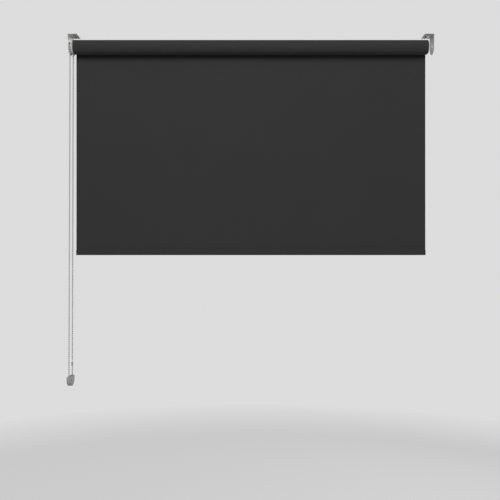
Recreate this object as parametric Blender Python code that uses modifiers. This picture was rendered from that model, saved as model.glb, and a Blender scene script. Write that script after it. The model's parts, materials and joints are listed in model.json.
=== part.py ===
"""Chain-operated roller blind for a window recess, shown about a third of the way down.

Frame: X runs along the roller, Y from the room to the window, Z up. The origin is in the ceiling
plane, midway between the brackets and straight above the roller's axis. Metres throughout.
The control side, with the bead chain, is at -X. The spring-loaded idle pin is at +X.
"""

import math

import bmesh
import bpy
from mathutils import Matrix, Vector

# ---------------------------------------------------------------- driving dimensions
GAP = 0.0003  # kept between pieces that touch
AXIS_Z = -0.0325  # roller axis below the ceiling
FABRIC_HALF = 0.5  # half the fabric's width
FABRIC_THICK = 0.0005
FABRIC_Y = 0.01995  # the plane in which the fabric hangs, behind the roll
BAR_BOTTOM_Z = -0.6217  # the bottom bar's lower edge at rest
BAR_HEIGHT = 0.0164
BAR_DEPTH = 0.0086
CAP_FACE = 0.4997  # |X| of the bar caps' outer faces
CAP_THICK = 0.001
TONGUE_LENGTH = 0.015

TUBE_RADIUS = 0.016
TUBE_WALL = 0.0012
TUBE_HALF = 0.4994
GROOVE_HALF = 0.0019  # half width of the tube's fabric groove
GROOVE_DEPTH = 0.0021
ROLL_RADIUS = 0.0195  # outside of the wound fabric

BRACKET_INNER = 0.5130  # |X| of the upright plates' inner faces
BRACKET_OUTER = 0.5145
BRACKET_SHEET = BRACKET_OUTER - BRACKET_INNER
BRACKET_FOOT = 0.4885  # |X| of the top plates' inner ends
BRACKET_HALF_DEPTH = 0.022
BRACKET_SCREW_X = 0.499
BRACKET_SCREW_Y = 0.012

DISC_RADIUS = 0.023  # both clutch shells
DISC_BORE = 0.0106
HOOK_Y = 0.0085  # the outer shell's two hooks, either side of the axis, reach into the bracket
HOOK_HALF = (0.0014, 0.0024)  # half their size in Y and Z
HOOK_PLAY = 0.0006
HOOD_INNER = 0.0206
HOOD_END_Z = AXIS_Z + 0.007  # the chain leaves the shells below this height
SHELL_SPLIT = 0.50805  # |X| where the two shells meet
CAVITY_OUTER = 0.5115  # |X| of the outer shell's inside face
CAVITY_INNER = 0.5045  # |X| of the inner shell's inside face

CHAIN_X = -0.5080  # at the sprocket
CHAIN_PITCH_RADIUS = 0.0172
CHAIN_RADIUS = 0.0022
POCKETS = 18
POCKET_RADIUS = 0.0026
POCKET_CENTRE = 0.0205  # from the axis, so that the pockets reach in below the beads
TIDY_X = -0.5110  # the chain's plane at the tidy
TIDY_Z = -0.9700  # centre of the chain's lower bend
TIDY_TOP_Z = -0.9645
TIDY_RADIUS = 0.0215
TIDY_CHANNEL = (0.0144, 0.0199)  # inner and outer radius of the way that the chain lies in
TIDY_FLOOR_X = -0.5148  # the channel's floor, then its rim and the cover's face
TIDY_RIM_X = -0.5075
TIDY_FACE_X = -0.5056
TIDY_SCREW_Y = 0.0065
TIDY_SCREW_Z = -0.9735
WALL_X = -0.5170  # the face of the recess that the tidy is screwed to
CONNECTOR_Z = -0.9330
CONNECTOR_LENGTH = 0.0134

CORE_RADIUS = 0.0060
PLUG_RADIUS = 0.0144  # drive drum and idle plug, inside the tube
PIN_RADIUS = 0.0030

# ---------------------------------------------------------------- scene and materials
for old in list(bpy.data.objects):
    bpy.data.objects.remove(old)


def new_collection(name):
    made = bpy.data.collections.new(name)
    bpy.context.scene.collection.children.link(made)
    return made


MODEL = new_collection("roller_blind")
CUTTERS = new_collection("cutters")


def new_material(name, colour, roughness, metallic=0.0):
    made = bpy.data.materials.new(name)
    made.use_nodes = True
    shader = made.node_tree.nodes["Principled BSDF"]
    shader.inputs["Base Color"].default_value = (*colour, 1.0)
    shader.inputs["Roughness"].default_value = roughness
    shader.inputs["Metallic"].default_value = metallic
    made.diffuse_color = (*colour, 1.0)
    return made


FABRIC = new_material("charcoal_fabric", (0.036, 0.036, 0.037), 0.9)
CHARCOAL = new_material("charcoal_plastic", (0.03, 0.03, 0.031), 0.5)
WHITE = new_material("white_plastic", (0.80, 0.80, 0.78), 0.4)
GREY = new_material("grey_nylon", (0.42, 0.43, 0.44), 0.5)
PALE_GREY = new_material("pale_grey_plastic", (0.46, 0.46, 0.45), 0.4)
PAINTED = new_material("white_painted_steel", (0.74, 0.74, 0.73), 0.35)
ZINC = new_material("zinc_plated_steel", (0.60, 0.60, 0.62), 0.3, 1.0)
SPRING = new_material("spring_steel", (0.38, 0.38, 0.40), 0.3, 1.0)
ALUMINIUM = new_material("mill_aluminium", (0.78, 0.78, 0.80), 0.35, 1.0)

# local X, Y, Z to world Y, Z, X: for outlines drawn across the roller and drawn out along it
ALONG_X = Matrix(((0, 0, 1, 0), (1, 0, 0, 0), (0, 1, 0, 0), (0, 0, 0, 1)))
# local X, Y, Z to world X, Z, -Y: for outlines drawn facing the room
ALONG_Y = Matrix.Rotation(math.radians(90), 4, "X")
# a turned profile's own Z axis laid along world X, on the roller's axis
ON_ROLLER_AXIS = Matrix.Translation((0, 0, AXIS_Z)) @ Matrix.Rotation(math.radians(90), 4, "Y")


# ---------------------------------------------------------------- modelling tools
def place(name, data, look, matrix=None, collection=MODEL):
    made = bpy.data.objects.new(name, data)
    made.matrix_world = matrix or Matrix.Identity(4)
    collection.objects.link(made)
    if look:
        data.materials.append(look)
    if collection is CUTTERS:
        made.hide_render = True
        made.display_type = "WIRE"
    return made


def mesh_from_curve(made):
    """Replaces a curve object by the same shape as one closed mesh."""
    bpy.context.view_layer.update()
    evaluated = made.evaluated_get(bpy.context.evaluated_depsgraph_get())
    mesh = bpy.data.meshes.new_from_object(evaluated)
    welded = bmesh.new()
    welded.from_mesh(mesh)
    bmesh.ops.remove_doubles(welded, verts=welded.verts, dist=0.00001)
    welded.to_mesh(mesh)
    welded.free()
    name, matrix, owner = made.name, made.matrix_world.copy(), made.users_collection[0]
    bpy.data.objects.remove(made)
    return place(name, mesh, None, matrix, owner)


def smooth(made, degrees=35):
    made.data.shade_smooth()
    made.data.set_sharp_from_angle(angle=math.radians(degrees))
    return made


def outline(name, loops, low, high, look, matrix=ALONG_X, collection=MODEL):
    """A flat outline with its holes, drawn out from low to high along the matrix's third axis."""
    curve = bpy.data.curves.new(name, "CURVE")
    curve.dimensions = "2D"
    curve.fill_mode = "BOTH"
    curve.extrude = (high - low) / 2
    for loop in loops:
        spline = curve.splines.new("POLY")
        spline.points.add(len(loop) - 1)
        for point, (across, up) in zip(spline.points, loop):
            point.co = (across, up, 0, 1)
        spline.use_cyclic_u = True
    at = matrix @ Matrix.Translation((0, 0, (low + high) / 2))
    return mesh_from_curve(place(name, curve, look, at, collection))


def turned(name, profile, look, closed=True, steps=32, matrix=ON_ROLLER_AXIS, collection=MODEL):
    """A turned piece. The profile holds (along, radius) points that run down the outer side."""
    mesh = bpy.data.meshes.new(name)
    points = [(radius, 0, along) for along, radius in profile]
    edges = [(i, i + 1) for i in range(len(points) - 1)]
    if closed:
        edges.append((len(points) - 1, 0))
    mesh.from_pydata(points, edges, [])
    made = place(name, mesh, look, matrix, collection)
    screw = made.modifiers.new("turn", "SCREW")
    screw.steps = steps
    screw.render_steps = steps
    screw.use_merge_vertices = True
    screw.merge_threshold = 0.00001
    return made


def box(name, low, high, look, bevel=0.0, collection=MODEL):
    mesh = bpy.data.meshes.new(name)
    cube = bmesh.new()
    bmesh.ops.create_cube(cube, size=1.0)
    size = Vector(high) - Vector(low)
    bmesh.ops.scale(cube, vec=size, verts=cube.verts)
    cube.to_mesh(mesh)
    cube.free()
    centre = (Vector(low) + Vector(high)) / 2
    made = place(name, mesh, look, Matrix.Translation(centre), collection)
    if bevel:
        edges = made.modifiers.new("edges", "BEVEL")
        edges.width = bevel
        edges.segments = 2
    return made


def rod(name, radius, low, high, axis, sides=16, collection=CUTTERS):
    """A plain cylinder from low to high along world X, Y or Z through the point axis."""
    mesh = bpy.data.meshes.new(name)
    cylinder = bmesh.new()
    bmesh.ops.create_cone(
        cylinder, cap_ends=True, segments=sides, radius1=radius, radius2=radius, depth=high - low
    )
    cylinder.to_mesh(mesh)
    cylinder.free()
    turn = {
        "X": Matrix.Rotation(math.radians(90), 4, "Y"),
        "Z": Matrix.Identity(4),
    }[axis[0]]
    centre = Vector(axis[1])
    centre["XYZ".index(axis[0])] = (low + high) / 2
    return place(name, mesh, None, Matrix.Translation(centre) @ turn, collection)


def wire(name, points, radius, look, resolution=2):
    """A round wire or cord with closed ends through the points."""
    curve = bpy.data.curves.new(name, "CURVE")
    curve.dimensions = "3D"
    curve.bevel_depth = radius
    curve.bevel_resolution = resolution
    curve.use_fill_caps = True
    spline = curve.splines.new("POLY")
    spline.points.add(len(points) - 1)
    for point, at in zip(spline.points, points):
        point.co = (*at, 1)
    return place(name, curve, look)


def combine(target, tool, operation):
    """Cuts the tool away from the target, adds it, or keeps what they share."""
    change = target.modifiers.new(operation.lower() + "_" + tool.name, "BOOLEAN")
    change.operation = operation
    change.object = tool
    return target


def arc(centre, radius, start, end, steps):
    """Points on an arc, in degrees from the first axis towards the second."""
    angles = [math.radians(start + (end - start) * i / steps) for i in range(steps + 1)]
    return [(centre[0] + radius * math.cos(a), centre[1] + radius * math.sin(a)) for a in angles]


def rounded_rectangle(centre, width, height, radius, steps=4):
    half_w, half_h = width / 2 - radius, height / 2 - radius
    corners = ((1, 1, 0), (-1, 1, 90), (-1, -1, 180), (1, -1, 270))
    points = []
    for across, up, start in corners:
        at = (centre[0] + across * half_w, centre[1] + up * half_h)
        points += arc(at, radius, start, start + 90, steps)
    return points


def d_shape(radius, centre_z, top_z, steps=20):
    """A half disc with its round side down and straight sides up to top_z, as (y, z) points."""
    return [(radius, top_z), (-radius, top_z)] + arc((0, centre_z), radius, 180, 360, steps)


def helix(radius, start_x, end_x, turns, per_turn):
    """Points of a coil round the roller's axis, from start_x to end_x."""
    count = int(turns * per_turn)
    points = []
    for i in range(count + 1):
        angle = 2 * math.pi * i / per_turn
        along = start_x + (end_x - start_x) * i / count
        points.append((along, radius * math.cos(angle), AXIS_Z + radius * math.sin(angle)))
    return points


# ---------------------------------------------------------------- brackets and their screws
def bracket(name, side, upright):
    """An L of bent sheet: a top plate on the ceiling and an upright plate across the roller's end.

    side is -1 or +1, and upright is the outline of the whole bracket as seen along the roller.
    """
    outer, inner, foot = side * BRACKET_OUTER, side * BRACKET_INNER, side * BRACKET_FOOT
    low = AXIS_Z - DISC_RADIUS - 0.002
    bend = [(foot, 0), (foot, -BRACKET_SHEET), (inner, -BRACKET_SHEET), (inner, low)]
    bend += [(outer, low), (outer, -0.001), (outer - side * 0.001, 0)]
    depth = BRACKET_HALF_DEPTH + 0.001
    made = outline(name, [bend], -depth, depth, PAINTED, ALONG_Y)
    reach = (min(foot, outer) - 0.001, max(foot, outer) + 0.001)
    shape = outline(name + "_outline", [upright], *reach, None, ALONG_X, CUTTERS)
    combine(made, shape, "INTERSECT")
    for row in (-1, 1):
        at = (side * BRACKET_SCREW_X, row * BRACKET_SCREW_Y, 0)
        hole = rod(f"{name}_hole_{row}", 0.0023, -0.004, 0.002, ("Z", at))
        combine(made, hole, "DIFFERENCE")
    return made


def left_bracket():
    """The control side's upright narrows to a tongue behind the clutch."""
    top, waist = BRACKET_HALF_DEPTH, 0.013
    upright = [(-top, 0.001), (-top, -0.005), (-waist, -0.0175)]
    upright += arc((0, AXIS_Z), waist, 180, 360, 14)
    upright += [(waist, -0.0175), (top, -0.005), (top, 0.001)]
    made = bracket("left_bracket", -1, upright)
    socket = rod("core_socket", 0.0034, -0.516, -0.512, ("X", (0, 0, AXIS_Z)))
    combine(made, socket, "DIFFERENCE")
    half_y, half_z = (half + HOOK_PLAY for half in HOOK_HALF)
    for row in (-1, 1):
        low = (-0.516, row * HOOK_Y - half_y, AXIS_Z - half_z)
        high = (-0.512, row * HOOK_Y + half_y, AXIS_Z + half_z)
        window = box(f"hook_window_{row}", low, high, None, collection=CUTTERS)
        combine(made, window, "DIFFERENCE")


def right_bracket():
    """The idle side's upright has a round end about the pin."""
    half, corner = 0.021, 0.004
    upright = [(-BRACKET_HALF_DEPTH, 0.001), (-BRACKET_HALF_DEPTH, -0.004), (-half, -0.004 - corner)]
    upright += arc((0, AXIS_Z), half, 180, 360, 20)
    upright += [(half, -0.004 - corner), (BRACKET_HALF_DEPTH, -0.004), (BRACKET_HALF_DEPTH, 0.001)]
    made = bracket("right_bracket", 1, upright)
    socket = rod("bush_socket", 0.0059, 0.512, 0.516, ("X", (0, 0, AXIS_Z)), 24)
    combine(made, socket, "DIFFERENCE")


def screw(name, matrix, head_radius, shank_radius, head, length, look=ZINC):
    """A domed screw with its head's underside at local zero and its shank along -Z."""
    profile = [
        (head, 0),
        (head, head_radius * 0.45),
        (head * 0.6, head_radius * 0.85),
        (0, head_radius),
        (0, shank_radius),
        (-length, shank_radius),
        (-length, 0),
    ]
    return smooth(turned(name, profile, look, closed=False, steps=14, matrix=matrix))


def bracket_screws():
    facing_down = Matrix.Rotation(math.radians(180), 4, "X")
    for label, side in (("left", -1), ("right", 1)):
        for row_label, row in (("front", -1), ("back", 1)):
            at = (side * BRACKET_SCREW_X, row * BRACKET_SCREW_Y, -BRACKET_SHEET - GAP)
            matrix = Matrix.Translation(at) @ facing_down
            screw(f"{label}_screw_{row_label}", matrix, 0.0038, 0.0019, 0.0021, BRACKET_SHEET)


# ---------------------------------------------------------------- clutch, at -X
def clutch_shells():
    """Two plastic shells that guard the sprocket. Their hood closes them over the top."""
    outer = [
        (-CAVITY_OUTER, 0.0034),
        (-CAVITY_OUTER, HOOD_INNER),
        (-SHELL_SPLIT - GAP / 2, HOOD_INNER),
        (-SHELL_SPLIT - GAP / 2, DISC_RADIUS),
        (-0.5123, DISC_RADIUS),
        (-0.5127, DISC_RADIUS - 0.0004),
        (-0.5127, 0.0034),
    ]
    inner = [
        (-0.5018, DISC_BORE),
        (-0.5018, DISC_RADIUS - 0.0006),
        (-0.5024, DISC_RADIUS),
        (-SHELL_SPLIT + GAP / 2, DISC_RADIUS),
        (-SHELL_SPLIT + GAP / 2, HOOD_INNER),
        (-CAVITY_INNER, HOOD_INNER),
        (-CAVITY_INNER, DISC_BORE),
    ]
    mouths = {
        "clutch_outer_shell": (outer[::-1], -0.51085, -0.5),
        "clutch_inner_shell": (inner, -0.52, -0.50495),
    }
    for name, (profile, low, high) in mouths.items():
        shell = smooth(turned(name, profile, WHITE, steps=40))
        below = (-0.03, AXIS_Z - 0.03), (0.03, HOOD_END_Z)
        corners = [(x, *yz) for x, yz in zip((low, high), below)]
        mouth = box(name + "_mouth", *corners, None, collection=CUTTERS)
        combine(shell, mouth, "DIFFERENCE")
    half_y, half_z = HOOK_HALF
    for row in (-1, 1):
        low = (-0.5144, row * HOOK_Y - half_y, AXIS_Z - half_z)
        high = (-0.5120, row * HOOK_Y + half_y, AXIS_Z + half_z)
        hook = box(f"hook_{row}", low, high, None, collection=CUTTERS)
        combine(bpy.data.objects["clutch_outer_shell"], hook, "UNION")


def clutch_core():
    """The fixed spindle that the brake springs grip, with its retaining washer and screw."""
    end, blind = -0.4645, -0.4760
    profile = [
        (blind, 0),
        (blind, 0.0017),
        (end, 0.0017),
        (end, CORE_RADIUS),
        (-0.5112, CORE_RADIUS),
        (-0.5112, 0.0030),
        (-0.5143, 0.0030),
        (-0.5143, 0),
    ]
    smooth(turned("clutch_core", profile, GREY, closed=False, steps=24))
    washer = [
        (end + GAP, 0.0090),
        (end + GAP, 0.0018),
        (end + GAP + 0.001, 0.0018),
        (end + GAP + 0.001, 0.0090),
    ]
    smooth(turned("core_washer", washer, ZINC, steps=24))
    at = Matrix.Translation((end + 2 * GAP + 0.001, 0, AXIS_Z))
    screw("core_screw", at @ Matrix.Rotation(math.radians(90), 4, "Y"), 0.0032, 0.0013, 0.002, 0.0125)


def sprocket():
    """The chain wheel, with its sleeve that reaches into the drive drum."""
    cheek, floor, sleeve = 0.0190, 0.0144, 0.0102
    profile = [
        (-0.5112, 0.0064),
        (-0.5040, 0.0064),
        (-0.5040, 0.0086),
        (-0.4780, 0.0086),
        (-0.4780, sleeve),
        (-0.5048, sleeve),
        (-0.5048, cheek),
        (-0.5055, cheek),
        (-0.5055, floor),
        (-0.5105, floor),
        (-0.5105, cheek),
        (-0.5112, cheek),
    ]
    wheel = turned("sprocket", profile, GREY, steps=36)
    mesh = bpy.data.meshes.new("pockets")
    ring = bmesh.new()
    for i in range(POCKETS):
        angle = 2 * math.pi * i / POCKETS
        centre = (POCKET_CENTRE * math.cos(angle), POCKET_CENTRE * math.sin(angle), 0)
        bmesh.ops.create_cone(
            ring,
            cap_ends=True,
            segments=8,
            radius1=POCKET_RADIUS,
            radius2=POCKET_RADIUS,
            depth=0.01,
            matrix=Matrix.Translation(centre),
        )
    ring.to_mesh(mesh)
    ring.free()
    matrix = Matrix.Translation((CHAIN_X, 0, AXIS_Z)) @ Matrix.Rotation(math.radians(90), 4, "Y")
    pockets = place("pockets", mesh, None, matrix, CUTTERS)
    smooth(combine(wheel, pockets, "DIFFERENCE"))


def clutch_springs():
    for name, start in (("clutch_spring_outer", -0.5025), ("clutch_spring_inner", -0.4895)):
        wire(name, helix(0.0073, start, start + 0.0100, 5, 10), 0.0005, SPRING)


# ---------------------------------------------------------------- roller and wound fabric
def key_slot(made, low, high):
    """Cuts the slot that clears the inside of the tube's fabric groove."""
    half, floor = GROOVE_HALF + TUBE_WALL + 0.0004, TUBE_RADIUS - GROOVE_DEPTH - TUBE_WALL - 0.0004
    corners = ((low, -half, AXIS_Z + floor), (high, half, AXIS_Z + TUBE_RADIUS))
    slot = box(made.name + "_slot", *corners, None, collection=CUTTERS)
    return combine(made, slot, "DIFFERENCE")


def drive_drum():
    """The adapter that turns the tube. It runs on the core and over the sprocket's sleeve."""
    profile = [
        (-0.5015, 0.0106),
        (-0.4760, 0.0106),
        (-0.4760, 0.0064),
        (-0.4650, 0.0064),
        (-0.4650, PLUG_RADIUS),
        (-0.4998, PLUG_RADIUS),
        (-0.4998, 0.0159),
        (-0.5015, 0.0159),
    ]
    key_slot(smooth(turned("drive_drum", profile, GREY, steps=32)), -0.4996, -0.46)


def tube_loop(radius, half, floor):
    """A circle about the roller's axis with a notch at the top, as (y, z) points."""
    edge = math.degrees(math.asin(half / radius))
    points = arc((0, AXIS_Z), radius, 90 + edge, 450 - edge, 44)
    return points + [(half, AXIS_Z + floor), (-half, AXIS_Z + floor)]


def roller_tube():
    floor = TUBE_RADIUS - GROOVE_DEPTH
    outside = tube_loop(TUBE_RADIUS, GROOVE_HALF, floor)
    inside = tube_loop(TUBE_RADIUS - TUBE_WALL, GROOVE_HALF + TUBE_WALL, floor - TUBE_WALL)
    smooth(outline("roller_tube", [outside, inside], -TUBE_HALF, TUBE_HALF, ALUMINIUM))
    low = (-TUBE_HALF, -GROOVE_HALF + 0.00035, AXIS_Z + floor + 0.00035)
    high = (TUBE_HALF, GROOVE_HALF - 0.00035, AXIS_Z + TUBE_RADIUS - GAP)
    box("fabric_spline", low, high, WHITE)


def fabric_roll():
    inner = TUBE_RADIUS + 0.00035
    profile = [
        (-FABRIC_HALF, ROLL_RADIUS),
        (-FABRIC_HALF, inner),
        (FABRIC_HALF, inner),
        (FABRIC_HALF, ROLL_RADIUS),
    ]
    smooth(turned("fabric_roll", profile, FABRIC, steps=48))


# ---------------------------------------------------------------- idle end, at +X
def idle_plug():
    """The end plug turns with the tube and holds the sprung pin."""
    profile = [
        (0.4680, 0),
        (0.4680, 0.0056),
        (0.4980, 0.0056),
        (0.4980, 0.0034),
        (0.5025, 0.0034),
        (0.5025, 0.0171),
        (0.5021, 0.0175),
        (0.5003, 0.0175),
        (0.5003, PLUG_RADIUS),
        (0.4660, PLUG_RADIUS),
        (0.4660, 0),
    ]
    plug = smooth(turned("idle_plug", profile, WHITE, closed=False, steps=32))
    key_slot(plug, 0.46, 0.4996)


def idle_pin():
    profile = [
        (0.4925, 0),
        (0.4925, 0.0020),
        (0.4955, 0.0020),
        (0.4955, 0.0052),
        (0.4975, 0.0052),
        (0.4975, PIN_RADIUS),
        (0.5144, PIN_RADIUS),
        (0.5150, PIN_RADIUS - 0.0006),
        (0.5150, 0),
    ]
    smooth(turned("idle_pin", profile[::-1], ZINC, closed=False, steps=20))
    wire("pin_spring", helix(0.0036, 0.46895, 0.49445, 8, 9), 0.00045, SPRING)


def idle_bush():
    profile = [
        (0.5148, 0.0034),
        (0.5148, 0.0055),
        (0.5127, 0.0055),
        (0.5127, 0.0075),
        (0.5108, 0.0075),
        (0.5108, 0.0034),
    ]
    smooth(turned("idle_bush", profile, WHITE, steps=24))


# ---------------------------------------------------------------- hanging fabric and bottom bar
def bar_outline(inset, radius):
    centre = (FABRIC_Y, BAR_BOTTOM_Z + BAR_HEIGHT / 2)
    return rounded_rectangle(centre, BAR_DEPTH - 2 * inset, BAR_HEIGHT - 2 * inset, radius)


def fabric_panel():
    half = FABRIC_THICK / 2
    low = (-FABRIC_HALF, FABRIC_Y - half + 0.0001, BAR_BOTTOM_Z + BAR_HEIGHT + GAP)
    high = (FABRIC_HALF, FABRIC_Y + half + 0.0001, AXIS_Z)
    box("fabric_panel", low, high, FABRIC)


def bottom_bar():
    """The hem with the flat bar inside it, and a cap with a tongue at each end."""
    shoulder = CAP_FACE - CAP_THICK
    sleeve = [bar_outline(0, 0.003), bar_outline(FABRIC_THICK, 0.0025)]
    smooth(outline("hem_sleeve", sleeve, -shoulder + GAP, shoulder - GAP, FABRIC))
    lath_half = shoulder - TONGUE_LENGTH - GAP
    lath = [bar_outline(FABRIC_THICK + 0.0004, 0.002)]
    smooth(outline("bottom_lath", lath, -lath_half, lath_half, ALUMINIUM))
    for label, side in (("left", -1), ("right", 1)):
        plate_ends = sorted((side * shoulder, side * CAP_FACE))
        tongue_ends = sorted((side * (shoulder - TONGUE_LENGTH), side * (shoulder + CAP_THICK / 2)))
        name = f"bar_cap_{label}"
        cap = outline(name, [bar_outline(0, 0.003)], *plate_ends, CHARCOAL)
        tongue = outline(
            name + "_tongue", [bar_outline(0.0012, 0.0015)], *tongue_ends, None, collection=CUTTERS
        )
        smooth(combine(cap, tongue, "UNION"))


# ---------------------------------------------------------------- bead chain and its tidy
def strand_x(z):
    """The strands lean slightly towards the wall, from the sprocket's plane to the tidy's."""
    share = (AXIS_Z - z) / (AXIS_Z - TIDY_Z)
    return CHAIN_X + (TIDY_X - CHAIN_X) * share


def strand(y, start, end, count):
    """Points down or up a strand, ends included."""
    heights = [start + (end - start) * i / count for i in range(count + 1)]
    return [(strand_x(z), y, z) for z in heights]


def chain_route():
    """From below the connector round the tidy, up the front, over the sprocket and down the back."""
    radius = CHAIN_PITCH_RADIUS
    half = CONNECTOR_LENGTH / 2 + GAP
    route = strand(radius, CONNECTOR_Z - half, TIDY_Z, 1)
    bend = arc((0, TIDY_Z), radius, 0, -180, 12)
    route += [(TIDY_X, y, z) for y, z in bend[1:-1]]
    route += strand(-radius, TIDY_Z, AXIS_Z, 18)
    bend = arc((0, AXIS_Z), radius, 180, 0, 14)
    route += [(CHAIN_X, y, z) for y, z in bend[1:-1]]
    route += strand(radius, AXIS_Z, CONNECTOR_Z + half, 18)
    return route


def bead_chain():
    wire("bead_chain", chain_route(), CHAIN_RADIUS, PALE_GREY)
    half, radius = CONNECTOR_LENGTH / 2, 0.0029
    profile = [(half, 0), (half, 0.0019), (half - 0.0012, radius)]
    profile += [(-half + 0.0012, radius), (-half, 0.0019), (-half, 0)]
    at = Matrix.Translation((strand_x(CONNECTOR_Z), CHAIN_PITCH_RADIUS, CONNECTOR_Z))
    smooth(turned("chain_connector", profile, PALE_GREY, closed=False, steps=16, matrix=at))


def chain_tidy():
    """The child-safety tidy: a channel that holds the chain's lower bend, with a screwed cover."""
    loop = d_shape(TIDY_RADIUS, TIDY_Z, TIDY_TOP_Z)
    base = outline("tidy_base", [loop], WALL_X, TIDY_RIM_X, PALE_GREY)
    above = TIDY_TOP_Z + 0.002
    hub, wide = TIDY_CHANNEL
    channel = [(wide, above)] + [(y, z) for y, z in arc((0, TIDY_Z), wide, 360, 180, 20)]
    channel += [(-wide, above), (-hub, above)]
    channel += arc((0, TIDY_Z), hub, 180, 360, 16) + [(hub, above)]
    cutter = outline("tidy_channel", [channel], TIDY_FLOOR_X, -0.505, None, collection=CUTTERS)
    combine(base, cutter, "DIFFERENCE")
    cover = outline("tidy_cover", [loop], TIDY_RIM_X + GAP, TIDY_FACE_X, PALE_GREY)
    for label, row in (("front", -1), ("back", 1)):
        centre = (0, row * TIDY_SCREW_Y, TIDY_SCREW_Z)
        hole = rod(f"tidy_hole_{label}", 0.0021, -0.52, -0.50, ("X", centre))
        combine(base, hole, "DIFFERENCE")
        combine(cover, hole, "DIFFERENCE")
        at = Matrix.Translation((TIDY_FACE_X + GAP, *centre[1:]))
        matrix = at @ Matrix.Rotation(math.radians(90), 4, "Y")
        screw(f"tidy_screw_{label}", matrix, 0.0034, 0.0017, 0.0020, 0.0116)
    smooth(base)
    smooth(cover)


# ---------------------------------------------------------------- joints' axes
MOVING = {
    "roll_axis": (
        (0, 0, AXIS_Z),
        ("drive_drum", "roller_tube", "fabric_spline", "fabric_roll", "idle_plug", "pin_spring"),
    ),
    "sprocket_axis": (
        (0, 0, AXIS_Z),
        ("sprocket", "clutch_spring_outer", "clutch_spring_inner"),
    ),
    "pin_axis": ((0.4955, 0, AXIS_Z), ("idle_pin",)),
    "bar_slide": (
        (0, FABRIC_Y, BAR_BOTTOM_Z),
        ("fabric_panel", "hem_sleeve", "bottom_lath", "bar_cap_left", "bar_cap_right"),
    ),
}


def hang_on_joints():
    """Parents each moving piece to an empty on its joint's axis."""
    for name, (at, members) in MOVING.items():
        empty = place(name, None, None, Matrix.Translation(at))
        for member in members:
            piece = bpy.data.objects[member]
            piece.parent = empty
            piece.matrix_parent_inverse = Matrix.Translation(at).inverted()


left_bracket()
right_bracket()
bracket_screws()
clutch_shells()
clutch_core()
sprocket()
clutch_springs()
drive_drum()
roller_tube()
fabric_roll()
idle_plug()
idle_pin()
idle_bush()
fabric_panel()
bottom_bar()
bead_chain()
chain_tidy()
hang_on_joints()
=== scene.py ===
"""The looks of a chain-operated roller blind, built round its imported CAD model.

Metres throughout. X runs along the roller towards the idle end, Y from the room to the window,
Z up. The chain side is at -X. Pieces that replace a CAD node keep to that node's place and size.
"""

import json
import math

import bmesh
import bpy
from mathutils import Matrix, Vector
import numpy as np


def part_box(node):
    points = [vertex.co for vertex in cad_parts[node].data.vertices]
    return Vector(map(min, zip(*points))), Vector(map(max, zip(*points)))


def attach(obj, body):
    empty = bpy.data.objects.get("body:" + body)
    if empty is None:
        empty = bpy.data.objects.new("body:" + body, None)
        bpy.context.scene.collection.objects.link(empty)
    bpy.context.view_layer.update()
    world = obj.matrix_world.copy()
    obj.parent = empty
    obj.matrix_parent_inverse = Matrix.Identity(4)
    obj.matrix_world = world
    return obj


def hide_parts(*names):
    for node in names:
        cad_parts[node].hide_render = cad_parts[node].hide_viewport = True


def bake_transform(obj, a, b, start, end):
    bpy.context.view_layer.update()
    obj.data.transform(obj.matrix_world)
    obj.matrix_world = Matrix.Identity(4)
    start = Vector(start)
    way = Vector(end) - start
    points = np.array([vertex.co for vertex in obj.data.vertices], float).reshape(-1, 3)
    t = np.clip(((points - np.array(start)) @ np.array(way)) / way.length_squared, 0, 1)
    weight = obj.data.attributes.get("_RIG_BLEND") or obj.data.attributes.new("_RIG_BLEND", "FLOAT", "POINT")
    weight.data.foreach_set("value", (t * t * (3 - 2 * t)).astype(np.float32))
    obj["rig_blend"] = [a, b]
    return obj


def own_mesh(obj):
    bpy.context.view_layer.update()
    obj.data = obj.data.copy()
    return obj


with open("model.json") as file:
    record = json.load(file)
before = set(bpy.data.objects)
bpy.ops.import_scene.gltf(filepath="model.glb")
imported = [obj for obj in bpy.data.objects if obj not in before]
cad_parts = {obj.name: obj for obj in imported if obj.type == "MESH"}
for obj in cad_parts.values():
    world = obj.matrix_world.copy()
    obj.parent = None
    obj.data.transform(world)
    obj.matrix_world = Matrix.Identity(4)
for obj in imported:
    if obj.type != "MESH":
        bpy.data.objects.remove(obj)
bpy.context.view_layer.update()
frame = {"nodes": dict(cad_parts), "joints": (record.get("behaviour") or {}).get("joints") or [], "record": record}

# ---------------------------------------------------------------- sizes, read from the frame
JOINTS = {joint["name"]: joint for joint in frame["joints"]}
RATIOS = {pair["joint"]: pair["ratio"] for pair in frame["record"]["behaviour"]["couplings"]}

AXIS_Z = JOINTS["roll_turn"]["pos_m"][2]
CLOTH_Y = RATIOS["bar_slide"]  # the bar's travel for a radian of turn is the roll's radius
CLOTH_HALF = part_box("fabric_roll")[1].x
CLOTH_THICK = 0.0004
TUBE_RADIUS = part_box("roller_tube")[1].y
HEM_LOW, HEM_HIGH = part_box("hem_sleeve")
BRACKET_SHEET = 0.0015
ON_AXIS = Matrix.Translation((0, 0, AXIS_Z))

# the chain's route, which repeats that of the CAD tube
CHAIN_X = -0.5080
PITCH_RADIUS = 0.0172
POCKETS = 18
TIDY_X = -0.5110
TIDY_Z = -0.9700
JOINER_LOW, JOINER_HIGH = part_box("chain_connector")
JOINER_GAP = 0.0003
BEAD_PITCH = 2 * math.pi * PITCH_RADIUS / POCKETS
BEAD_RADIUS = 0.00225
STRING_RADIUS = 0.0006

# ---------------------------------------------------------------- camera, light and floor
LENS = 46.8  # millimetres
CAMERA_PLACE = (-0.0025, -1.843, -0.607)
BACKDROP = (0.72, 0.72, 0.72)  # what the camera sees behind the blind
AMBIENT = (0.24, 0.24, 0.24)  # what the backdrop gives as light
LIGHT_TARGET = (0, 0, -0.3)
LIGHTS = {  # place, diameter and watts
    "key": ((-0.1, -2.6, 0.9), 1.6, 45),
    "window": ((1.7, 2.3, 0.1), 1.8, 36),
}


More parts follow.
